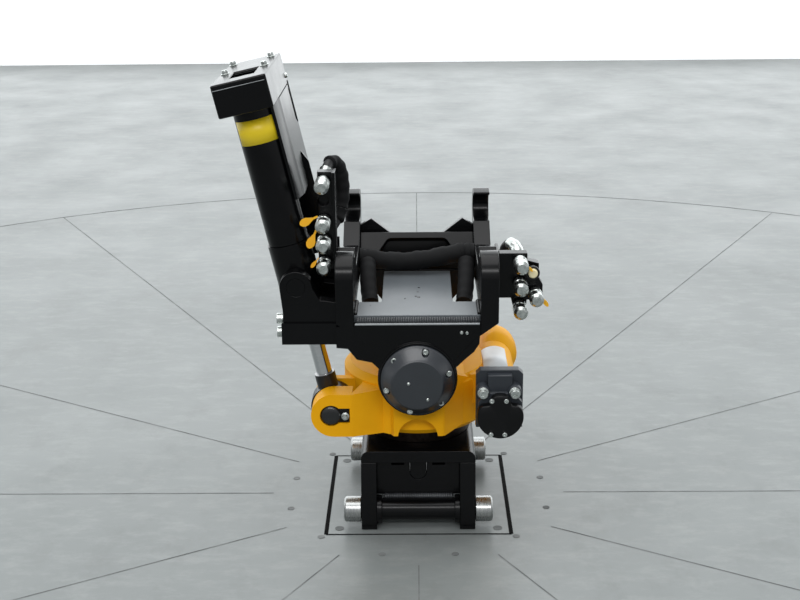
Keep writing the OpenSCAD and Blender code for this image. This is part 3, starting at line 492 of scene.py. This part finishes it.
def add_motor_screws():
    """Two large flange screws on washers in front of the motor's ears, and four small ones in the cover."""
    ear_len = 23.5
    ear_z = 322
    ear = [(12.5, 0), (12.5, ear_len - 1.5), (11.5, ear_len), (0, ear_len)]
    washer_face = FLANGE_FACE - ear_len
    washer = [(10.5, 0), (10.5, 1.8), (9.9, 2.2), (0, 2.2)]
    screws = Shape()
    ears = Shape()
    for x in (119.0, 176.5):
        ears.lathe(ear, (x, FLANGE_FACE, ear_z), FRONT)
        screws.lathe(washer, (x, washer_face, ear_z), FRONT)
        screws.lathe(socket_head(8.4, 9), (x, washer_face - 2, ear_z), FRONT)
    ears.place("motor_ears", FLANGE, "housing", "motor_black")
    for x, z in ((134, 312), (160, 312), (133, 246.5), (158, 246.5)):
        screws.lathe(socket_head(4.4, 4.5), (x, COVER_LOW.y, z), FRONT)
    screws.place("motor_screws", ZINC, "housing", "zinc")


def add_keeper_fittings():
    """Bolt and domed cover on the keeper of the rod pin."""
    bolt = Shape()
    bolt.lathe(hexagon_head(5.6, 8), (-138, KEEPER_FACE, 241), FRONT)
    bolt.place("keeper_bolt", ZINC, "housing", "zinc")
    dome = Shape()
    dome_at = (ROD_PIN.x, KEEPER_FACE, ROD_PIN.z)
    dome.lathe([(19, 0), (18.6, 2), (15, 4), (8, 5.2), (0, 5.6)], dome_at, FRONT, 40)
    dome.place("keeper_dome", KEEPER, "housing", "motor_black", 60)


def add_hood_fittings():
    """Hood bolts, a painted highlight on its front edge, guard bolts and a sheet of painted shade in its
    slot, in the tilt cylinder's frame.
    """
    hood_front = -85
    hood_top = 393
    guard_face = 50
    bolts = Shape()
    for side in (-39, 35):
        for back in (124, 240):
            bolts.lathe(hexagon_head(6.2, 8), on_barrel(side, hood_front + back, hood_top), BARREL_UP)
    for back, up in ((175, 350), (150, 180)):
        bolts.lathe(button_head(5.5, 4), on_barrel(guard_face, back, up), BARREL_SIDE)
    bolts.place("hood_bolts", ZINC, "cylinder_barrel", "zinc")
    # Thin light grey tube along the hood's front, below its top: a painted highlight of the hood's bevel
    seam = Shape()
    stops = (-48, -24, 0, 24, 46)
    seam.tube([on_barrel(side, hood_front - 0.2, hood_top - 10) for side in stops], [0.55] * len(stops), 8)
    seam.place("hood_painted_glint", EDGE_GLINT, "cylinder_barrel", "deck_paint", 60)
    # Matt black sheet on the guard's side: painted shade where the slot's opening looks dark
    slot = Shape()
    corners = [(172, 262), (172, 336), (180, 340), (184, 336), (184, 256)]
    faces = (guard_face + 0.1, guard_face + 0.7)
    slot.rings([[on_barrel(side, back, up) for back, up in corners] for side in faces])
    slot.place("guard_slot_painted_shade", MATT, "cylinder_barrel", "black_paint")


def add_plugs():
    """Two blanking plugs in the hitch's front plate."""
    plugs = Shape()
    for x, z in ((81, 420), (91, 419.5)):
        plugs.lathe(button_head(3.6, 2.6), (x, HITCH_FRONT, z), FRONT)
    plugs.place("front_plate_plugs", ZINC, "upper_hitch", "zinc")


def ripple(start, end, r):
    """Points and radii of a weld bead with its overlapping ripples."""
    a = Vector(start)
    run = Vector(end) - a
    count = max(8, int(run.length / 1.1))
    points = [a + run * (i / count) for i in range(count + 1)]
    radii = [r * (0.78 + 0.22 * abs(math.cos(math.pi * i / 4))) for i in range(count + 1)]
    radii[0] = radii[-1] = 0.55 * r
    return points, radii


def add_welds():
    """Weld beads, the front and coupler ones lighter grey as painted sheen, and a painted highlight on the
    front plate's upper edge.
    """
    sides = Shape()
    side_z = DECK_HIGH.z + 1.5
    for x in (DECK_LOW.x + 2, DECK_HIGH.x - 2):
        sides.tube(*ripple((x, DECK_LOW.y + 2, side_z), (x, DECK_LOW.y + 78, side_z), 4.0), sides=10)
    sides.place("hitch_welds", BLACK, "upper_hitch", "black_paint", 60)
    # Weld bead at the deck's front, in the lighter grey of painted sheen
    front = Shape()
    front_y = DECK_LOW.y - 3
    front_z = DECK_LOW.z + 5
    start = (DECK_LOW.x + 3, front_y, front_z)
    end = (DECK_HIGH.x - 3, front_y, front_z)
    front.tube(*ripple(start, end, 7.0), sides=12)
    front.place("deck_weld", WELD, "upper_hitch", "black_paint", 60)
    # Light grey tube along the front plate's upper edge: a painted highlight of its bevel
    edge = Shape()
    stops = (-114, -60, 0, 60, 114)
    edge.tube([Vector((x, HITCH_FRONT + 1.7, DECK_LOW.z + 0.2)) for x in stops], [2.2] * len(stops), 10)
    edge.place("front_plate_painted_glint", EDGE_GLINT, "upper_hitch", "deck_paint", 60)
    # Weld beads on the coupler, in the lighter grey of painted sheen
    coupler = Shape()
    panel_half = 68
    for y in (-129.5, 129.5):
        coupler.tube(*ripple((-panel_half, y, 56.5), (panel_half, y, 56.5), 6.0), sides=10)
    coupler.place("coupler_welds", WELD, "lower_coupler", "black_paint", 60)


def add_ferrules():
    """Crimped steel ends on the hoses, with three crimp grooves."""
    end_r = 10.6
    land_r = 12.2
    groove_r = 11.2
    radii = [end_r] + [land_r, land_r, groove_r] * 3 + [land_r, end_r]
    shape = Shape()
    for route, reach in ((LEFT_HOSE, 34.0), (RIGHT_HOSE, 62.0), (LEFT_HOSE[::-1], 24.0)):
        line = smooth_route(route, 12)
        gone = [0.0]
        for a, b in zip(line, line[1:]):
            gone.append(gone[-1] + (b - a).length)
        marks = [reach * i / (len(radii) - 1) for i in range(len(radii))]
        points = [line[min(range(len(gone)), key=lambda k: abs(gone[k] - mark))] for mark in marks]
        shape.tube(points, radii, 20)
    shape.place("hose_ferrules", ZINC, "upper_hitch", "zinc", 30)


def add_sleeves():
    """Woven sleeves on the hoses: the cross bundle, the left loop, and the tails by the deck's tongue."""
    bundle_r = 18.5
    loop_r = 13.2
    loop_pinch = 2.6
    tail_r = 16.2
    shape = Shape()
    bundle = smooth_route(CROSS_HOSE, 6)
    radii = [bundle_r + math.sin(0.9 * i) + 0.7 * math.sin(2.3 * i) for i in range(len(bundle))]
    shape.tube(bundle, radii, 20)
    loop = smooth_route(LEFT_HOSE, 8)[22:66]
    radii = [loop_r + 0.7 * math.sin(1.1 * i) for i in range(len(loop))]
    radii[0] -= loop_pinch
    radii[-1] -= loop_pinch
    shape.tube(loop, radii, 20)
    for side in (-1, 1):
        tail = smooth_route([(side * x, y, z) for x, y, z in (
            (99, 68, 477), (98, 48, 468), (97, 22, 452), (94, -6, 434), (91, -28, 422))], 6)
        shape.tube(tail, [tail_r + 0.5 * math.sin(1.3 * i + side) for i in range(len(tail))], 20)
    shape.place("hose_sleeves", TEXTILE, "upper_hitch", "hose_rubber", 50)


def leaf(at, turn, length, width):
    """Front outline of a flat strap with a narrow neck and a round tip, at an angle in degrees."""
    along = Vector((math.cos(math.radians(turn)), 0, math.sin(math.radians(turn))))
    across = Vector((-along.z, 0, along.x))
    edge = [(0, 0.22), (0.25, 0.24), (0.42, 0.55), (0.6, 0.95), (0.78, 1.0), (0.92, 0.7), (1.0, 0.22)]
    sides = edge + [(t, -w) for t, w in edge[::-1]]
    return [Vector(at) + along * (t * length) + across * (w * width / 2) for t, w in sides]


def add_straps():
    """Dust cap straps: thin leaves that hang out from behind the couplings."""
    thickness = Vector((0, 1.5, 0))
    leaves = (
        ((-180, -150, 629), 205, 36, 15),
        ((-183, -150, 604), 246, 38, 16),
        ((-180, -150, 551), 232, 24, 7),
        ((202, -122, 528), -48, 20, 5),
        ((230, -118, 466), -55, 28, 8))
    shape = Shape()
    for at, turn, length, width in leaves:
        front = leaf(at, turn, length, width)
        shape.rings([front, [p + thickness for p in front]])
    straps = shape.place("strap_leaves", ORANGE, "upper_hitch", "orange_strap")
    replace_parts(straps, "coupling_straps")


def add_sheets():
    """Sheet of painted shade in the arch's opening, shield behind the cylinder's arms, and beam over the
    rear plate.
    """
    shape = Shape()
    foot_z = 447
    lean = math.tan(math.radians(12))
    # Black sheet across the arch's opening: painted shade of the arch's inside
    sheet = [(-78, foot_z), (78, foot_z), (78, 490), (62, 511), (-62, 511), (-78, 490)]
    shape.rings([[Vector((x, foot_y + (z - foot_z) * lean, z)) for x, z in sheet] for foot_y in (149, 154)])
    shield = [(-149, 442), (-149, 556), (-176, 556), (-190, 540), (-190, 456), (-178, 442)]
    shape.slab(shield, -23, -19)
    half = 115.5
    beam = [(-half, 435), (half, 435), (half, 468), (90, 468), (78, 452), (-78, 452), (-90, 468),
            (-half, 468)]
    shape.slab(beam, 154.5, 177)
    shape.place("hitch_sheets", BLACK, "upper_hitch", "black_paint")


def add_shade_skirt():
    """Lower reach of the hitch's front beside the axle cap, painting shade and the dark hoses there, and in
    front of the cylinder's arm.
    """
    top_z = 432
    low_z = 391
    # Beside the axle cap the plates are painted shade, for the hitch's shadow and the dark hoses behind it
    left = [(-HITCH_OUT, top_z), (-HITCH_OUT, low_z), (-128, 389), (-112, 368), (-84, 362), (-70, 348),
            (-55, 380), (-55, top_z)]
    right = [(116, top_z), (114, 398), (104, 382), (86, 366), (70, 350), (55, 380), (55, top_z)]
    arm = [(-251, top_z), (-251, low_z), (-HITCH_OUT, low_z), (-HITCH_OUT, top_z)]
    shape = Shape()
    for outline in (left, right):
        shape.slab(outline, HITCH_FRONT + 0.5, HITCH_FRONT + 22)
    shape.slab(arm, ARM_FACE - 6, ARM_FACE)
    shape.place("hitch_shade_skirt", BLACK, "upper_hitch", "black_paint")


def add_guard_flange():
    """Flange of the guard, which runs down behind the barrel."""
    outline = [(20, 8), (44, 8), (56, 60), (60, 110), (60, 190), (49, 215), (36, 215), (20, 190)]
    shape = Shape()
    shape.rings([[on_barrel(side, back, up) for side, up in outline] for back in (110, 114)])
    shape.place("guard_flange", BLACK, "cylinder_barrel", "black_paint")


def add_bulge():
    """Cast swelling on the outer side of the worm tube's rear end."""
    inner_r = 37.8
    skin = 0.3
    steps = 32
    first_turn = -75
    sweep = 200
    swells = ((58, 0.3), (64, 4.0), (74, 10.5), (84, 12.8), (108, 13.0), (124, 11.5), (132, 7.0),
              (134.5, 0.3))
    rows = []
    for back, swell in swells:
        middle = Vector((TUBE_X, back, TUBE_Z))
        outer = []
        inner = []
        for i in range(steps + 1):
            turn = math.radians(first_turn + sweep * i / steps)
            reach = Vector((math.cos(turn), 0, math.sin(turn)))
            lift = swell * min(1.0, 1.6 * math.sin(math.pi * i / steps))
            outer.append(middle + reach * (inner_r + skin + lift))
            inner.append(middle + reach * inner_r)
        rows.append(outer + inner[::-1])
    shape = Shape()
    shape.rings(rows)
    shape.place("tube_bulge", YELLOW, "housing", "yellow_paint", 50)


def add_chips():
    """Small marks where the deck's paint is chipped."""
    chips = ((4, -18, 3.0), (1, -44, 2.4), (4, -78, 4.6), (-3, -72, 3.2), (-24, -86, 2.6), (-88, -128, 2.0))
    shape = Shape()
    for x, y, r in chips:
        shape.lathe([(r, 0.02), (0.8 * r, 0.12), (0, 0.12)], (x, y, DECK_HIGH.z), (0.02 * x, 0, 1), 7)
    shape.place("deck_chips", BLACK, "upper_hitch", "black_paint")


def add_plug_holder():
    """Round holder of the dust plug."""
    low, high = box_mm("dust_plug")
    middle = ((low.x + high.x) / 2, high.y - 12, (low.z + high.z) / 2)
    bore_r = 6.5
    profile = [(bore_r, 0), (12.5, 0), (13.2, 1), (13.2, 8), (12, 9), (10, 9), (9.4, 8), (9.4, 4),
               (bore_r, 4)]
    shape = Shape()
    shape.lathe(profile, middle, FRONT, 28)
    shape.place("plug_holder", RUBBER, "upper_hitch", "hose_rubber")


def add_patch(name, material, body, at, along, up, r, angles, reach):
    """Thin blank plate that lies on a round: angles in degrees from the up vector, reach along the axis."""
    steps = 24
    axis = Vector(along).normalized()
    top = Vector(up).normalized()
    side = axis.cross(top)
    shape = bmesh.new()
    rows = []
    for i in range(steps + 1):
        a = math.radians(angles[0] + (angles[1] - angles[0]) * i / steps)
        out = top * math.cos(a) + side * math.sin(a)
        rows.append([shape.verts.new((Vector(at) + axis * h + out * r) * MM) for h in reach])
    for a, b in zip(rows, rows[1:]):
        shape.faces.new((a[0], a[1], b[1], b[0]))
    data = bpy.data.meshes.new(name)
    shape.to_mesh(data)
    shape.free()
    data.shade_smooth()
    data.materials.append(material)
    plate = link(name, data)
    skin = plate.modifiers.new("thick", "SOLIDIFY")
    skin.thickness = 0.3 * MM
    skin.offset = 0.0
    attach(plate, body)


def add_blanks():
    """Blank sticker on the barrel and blank label on the worm tube."""
    add_patch("barrel_sticker", STICKER, "cylinder_barrel", TRUNNION, BARREL_UP, FRONT, BARREL_R + 0.3,
              angles=(-62, 68), reach=(267, 312))
    add_patch("tube_label", LABEL, "housing", (TUBE_X, 0, TUBE_Z), BACK, (0, 0, 1), 38.3,
              angles=(-42, 34), reach=(-95, 25))


add_cap_screws()
add_motor_cover()
add_motor_screws()
add_keeper_fittings()
add_hood_fittings()
add_plugs()
add_welds()
add_ferrules()
add_sleeves()
add_straps()
add_sheets()
add_shade_skirt()
add_guard_flange()
add_bulge()
add_chips()
add_plug_holder()
add_blanks()

# Stage, in metres: the turntable's ring and joints, the square plate under the object, and the wall
RING_R = 2.65
RING_STEPS = 96
JOINTS = 12
JOINT_START = 0.30
PLATE_HALF = 0.18
PLATE_SCREW = 0.155
SCREW_CIRCLE = 0.267
WALL_HALF = 30
HALL_LIGHT = (0.95, 0.985, 1, 1)


def floor_finish():
    """Worn grey floor: broad stains, fine scuffs and uneven gloss."""
    n = Nodes("floor")
    stain = n.mix(n.span(n.noise(1.3, 6.0, 0.62), 0.0, 1.0), (0.150, 0.165, 0.163), (0.195, 0.212, 0.210))
    scuff = n.span(n.noise(11.0, 9.0, 0.72, (1, 2.2, 1)), 0.0, 0.6, 0.48, 0.78)
    grime = n.span(n.noise(5.0, 8.0, 0.7, (1.6, 1, 1)), 0.0, 0.45, 0.52, 0.80)
    n.into(n.mix(grime, n.mix(scuff, stain, (0.27, 0.285, 0.28)), (0.095, 0.10, 0.095)), "Base Color")
    n.into(n.span(n.noise(3.0, 6.0), 0.30, 0.42), "Roughness")
    n.set(Specular_IOR_Level=0.5)
    return n.material


def seam_finish():
    """Dirt in the floor's joints."""
    n = Nodes("seam")
    n.into(n.mix(n.span(n.noise(14.0), 0.0, 1.0), (0.05, 0.055, 0.055), (0.20, 0.21, 0.21)), "Base Color")
    n.set(Roughness=0.8)
    return n.material


def flat_piece(name, corners, z, material):
    """A flat polygon of the stage."""
    mesh = bpy.data.meshes.new(name)
    mesh.from_pydata([(x, y, z) for x, y in corners], [], [tuple(range(len(corners)))])
    mesh.materials.append(material)
    link(name, mesh)


def strip(a, b, width):
    """Corners of a narrow strip from a to b."""
    run = (Vector(b) - Vector(a)).normalized() * (width / 2)
    off = Vector((-run.y, run.x))
    return [tuple(Vector(p) + s * off) for p, s in ((a, 1), (a, -1), (b, -1), (b, 1))]


def on_circle(r, degrees):
    """Point of a circle about the middle of the floor."""
    turn = math.radians(degrees)
    return Vector((math.cos(turn), math.sin(turn))) * r


def add_floor():
    """Turntable floor with radial joints, its ring, and the square plate under the object."""
    seam = seam_finish()
    flat_piece("floor", [(-30, -12), (30, -12), (30, 30), (-30, 30)], -0.0012, floor_finish())
    for i in range(JOINTS):
        turn = 360 / JOINTS * i
        joint = strip(on_circle(JOINT_START, turn), on_circle(RING_R, turn), 0.0025)
        flat_piece(f"joint_{i}", joint, -0.0008, seam)
    ring = [on_circle(RING_R, 360 / RING_STEPS * k) for k in range(RING_STEPS + 1)]
    for i, (a, b) in enumerate(zip(ring, ring[1:])):
        flat_piece(f"ring_{i}", strip(a, b, 0.008), -0.0010, seam)
    corners = [(PLATE_HALF * x, PLATE_HALF * y) for x, y in ((-1, -1), (1, -1), (1, 1), (-1, 1))]
    gap = paint("plate_gap", (0.002, 0.002, 0.002), (0.006, 0.006, 0.006), 0.8, 0.05, 0.05)
    for i, width in enumerate((0.004, 0.008, 0.003, 0.008)):
        flat_piece(f"plate_joint_{i}", strip(corners[i], corners[(i + 1) % 4], width), -0.0006, gap)
    add_floor_screws(seam)


def add_floor_screws(material):
    """Sunk screws in the plate's corners and on a circle around it."""
    screws = Shape()
    spots = [(PLATE_SCREW * a, PLATE_SCREW * b, 9.0) for a in (-1, 1) for b in (-1, 1)]
    for i in range(JOINTS):
        spots.append((*on_circle(SCREW_CIRCLE, 15 + 360 / JOINTS * i), 7.0))
    for x, y, r in spots:
        profile = [(r, 0), (r, 0.3), (0.8 * r, 0.4), (0.5 * r, 0.1), (0.3 * r, 0.1, 6), (0, 0.05)]
        screws.lathe(profile, (x / MM, y / MM, -0.8), (0, 0, 1))
    screws.piece("floor_screws", material)


def add_wall():
    """White wall far behind, with a skirting at its foot."""
    for name, back, top, grey, glow in (("wall", 6.4, 9.0, 0.9, 1.6), ("skirting", 6.38, 0.11, 0.5, 0.85)):
        finish = Nodes(name)
        finish.set(Base_Color=(grey, grey, grey, 1), Emission_Color=HALL_LIGHT, Emission_Strength=glow)
        corners = ((-WALL_HALF, 0), (WALL_HALF, 0), (WALL_HALF, top), (-WALL_HALF, top))
        mesh = bpy.data.meshes.new(name)
        mesh.from_pydata([(x, back, z) for x, z in corners], [], [(0, 1, 2, 3)])
        mesh.materials.append(finish.material)
        link(name, mesh)


def add_lights():
    """Even white hall: a bright sky, one wide lamp above and a long one high in front."""
    world = bpy.data.worlds.new("world")
    bpy.context.scene.world = world
    world.use_nodes = True
    sky = world.node_tree.nodes["Background"]
    sky.inputs["Color"].default_value = (0.95, 0.98, 1.0, 1.0)
    sky.inputs["Strength"].default_value = 0.55
    target = Vector((0, 0, 0.35))
    lamps = (("top", (-0.4, -0.2, 3.8), (3.5, 3.5), 95.0), ("front", (-0.5, -4.6, 3.7), (4.6, 0.7), 105.0))
    for name, at, size, power in lamps:
        lamp = bpy.data.lights.new(name, "AREA")
        lamp.shape = "RECTANGLE"
        lamp.size = size[0]
        lamp.size_y = size[1]
        lamp.energy = power
        holder = bpy.data.objects.new(name, lamp)
        holder.location = at
        holder.rotation_euler = (target - Vector(at)).to_track_quat("-Z", "Y").to_euler()
        bpy.context.scene.collection.objects.link(holder)


add_floor()
add_wall()
add_lights()
bpy.context.scene.view_settings.view_transform = "Standard"
